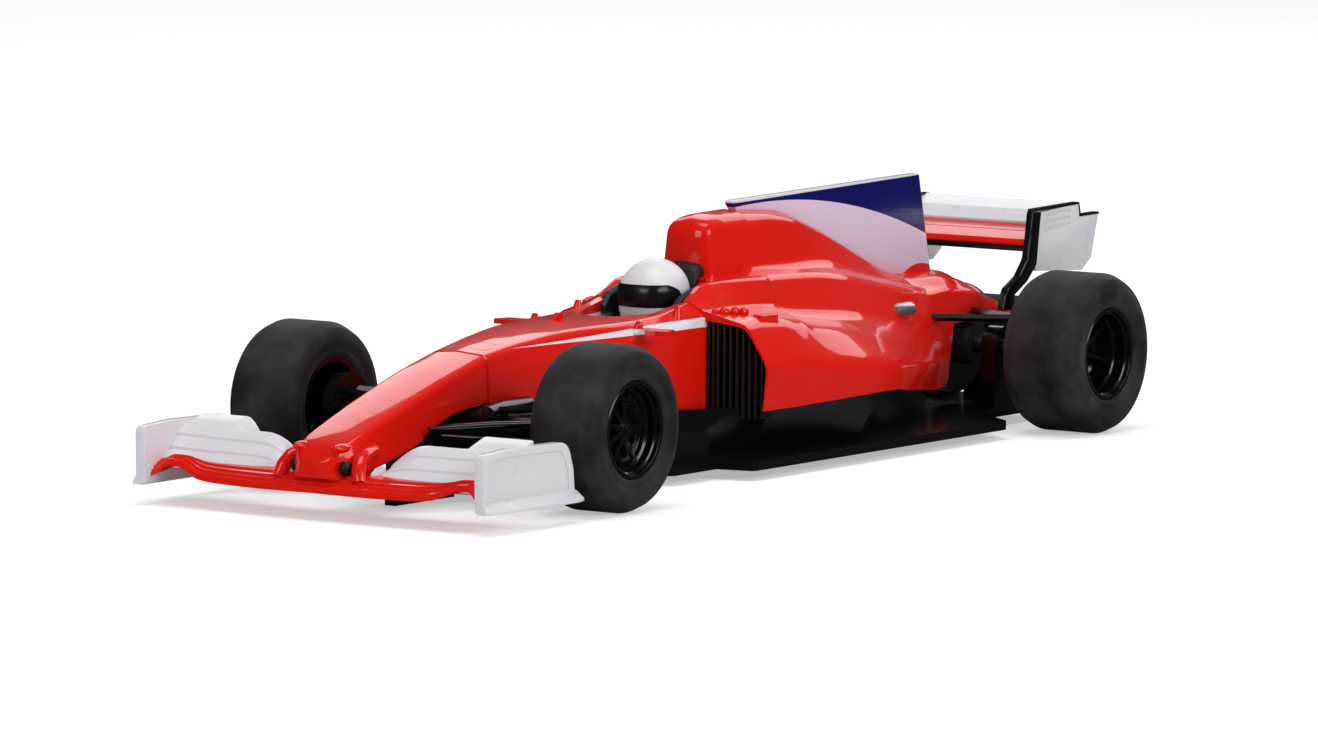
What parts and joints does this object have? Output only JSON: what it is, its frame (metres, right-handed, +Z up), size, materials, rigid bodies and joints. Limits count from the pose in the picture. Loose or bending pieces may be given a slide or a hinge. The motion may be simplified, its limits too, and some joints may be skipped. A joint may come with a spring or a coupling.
{
  "type": "open wheel racing car, 1:32 slot car toy",
  "caption": "Toy open wheel racing car with slick tyres, nose and rear wings, a tall fin, a seated helmet, a swivelling guide and a geared rear axle.",
  "frame": {"origin": "on the floor under the middle of the outside box", "axes": "+X forward to the nose, +Y to the car's left, +Z up"},
  "size_m": [0.164, 0.0552, 0.0335],
  "materials": {
    "red_plastic": "glossy painted red plastic",
    "white_plastic": "glossy white plastic",
    "black_plastic": "glossy black plastic",
    "fin_plastic": "glossy printed plastic, dark blue, pale lilac and red",
    "silver_plastic": "silver painted",
    "helmet_white": "glossy white",
    "visor_black": "glossy black",
    "cockpit_black": "matt black",
    "tyre": "matt slick rubber",
    "rim_plastic": "glossy black plastic",
    "steel": "bright steel",
    "gear_plastic": "dark grey nylon",
    "guide_plastic": "satin black nylon",
    "braid_copper": "tinned copper braid",
    "pinion_brass": "machined brass",
    "motor_can": "plated steel can",
    "magnet_iron": "dark sintered magnet"
  },
  "bodies": {
    "chassis": {"underpan": "black_plastic", "body_shell": "red_plastic", "nose_cone": "red_plastic", "engine_cover_fin": "fin_plastic", "mirrors": "red_plastic", "radiator_grilles": "black_plastic", "exhaust_tips": "silver_plastic", "helmet": "helmet_white", "visor": "visor_black", "driver_torso": "cockpit_black", "cockpit_tray": "cockpit_black", "headrest_pads": "cockpit_black", "bargeboards": "black_plastic", "front_axle_carrier": "black_plastic", "front_wing_plane": "red_plastic", "front_suspension_left": "black_plastic", "front_suspension_right": "black_plastic", "front_wing_flap_left": "white_plastic", "front_wing_flap_right": "white_plastic", "front_wing_endplate_left": "white_plastic", "front_wing_endplate_right": "white_plastic", "rear_suspension_left": "black_plastic", "rear_suspension_right": "black_plastic", "rear_crash_structure": "black_plastic", "diffuser_strakes": "black_plastic", "beam_wing": "black_plastic", "rear_wing_main": "red_plastic", "rear_wing_flap": "white_plastic", "rear_wing_endplate_left": "white_plastic", "rear_wing_endplate_right": "white_plastic", "motor": "motor_can", "magnet": "magnet_iron"},
    "front_wheels": {"front_axle": "steel", "front_rim_left": "rim_plastic", "front_tyre_left": "tyre", "front_rim_right": "rim_plastic", "front_tyre_right": "tyre"},
    "rear_wheels": {"rear_axle": "steel", "crown_gear": "gear_plastic", "rear_rim_left": "rim_plastic", "rear_tyre_left": "tyre", "rear_rim_right": "rim_plastic", "rear_tyre_right": "tyre"},
    "guide_swivel": {"guide": "guide_plastic", "guide_braids": "braid_copper"},
    "motor_rotor": {"motor_shaft": "steel", "pinion": "pinion_brass"}
  },
  "joints": [
    {"name": "front_wheel_spin", "type": "hinge", "parent": "chassis", "child": "front_wheels", "pos_m": [0.0515, 0, 0.0103], "axis": [0, 1, 0], "continuous": true},
    {"name": "rear_wheel_spin", "type": "hinge", "parent": "chassis", "child": "rear_wheels", "pos_m": [-0.0605, 0, 0.0106], "axis": [0, 1, 0], "continuous": true},
    {"name": "guide_swing", "type": "hinge", "parent": "chassis", "child": "guide_swivel", "pos_m": [0.0585, 0, 0.003], "axis": [0, 0, 1], "range_deg": [-35, 35]},
    {"name": "motor_spin", "type": "hinge", "parent": "chassis", "child": "motor_rotor", "pos_m": [-0.0547, 0, 0.0106], "axis": [1, 0, 0], "continuous": true}
  ],
  "couplings": [
    {"joint": "motor_spin", "follows": "rear_wheel_spin", "ratio": -3}
  ]
}
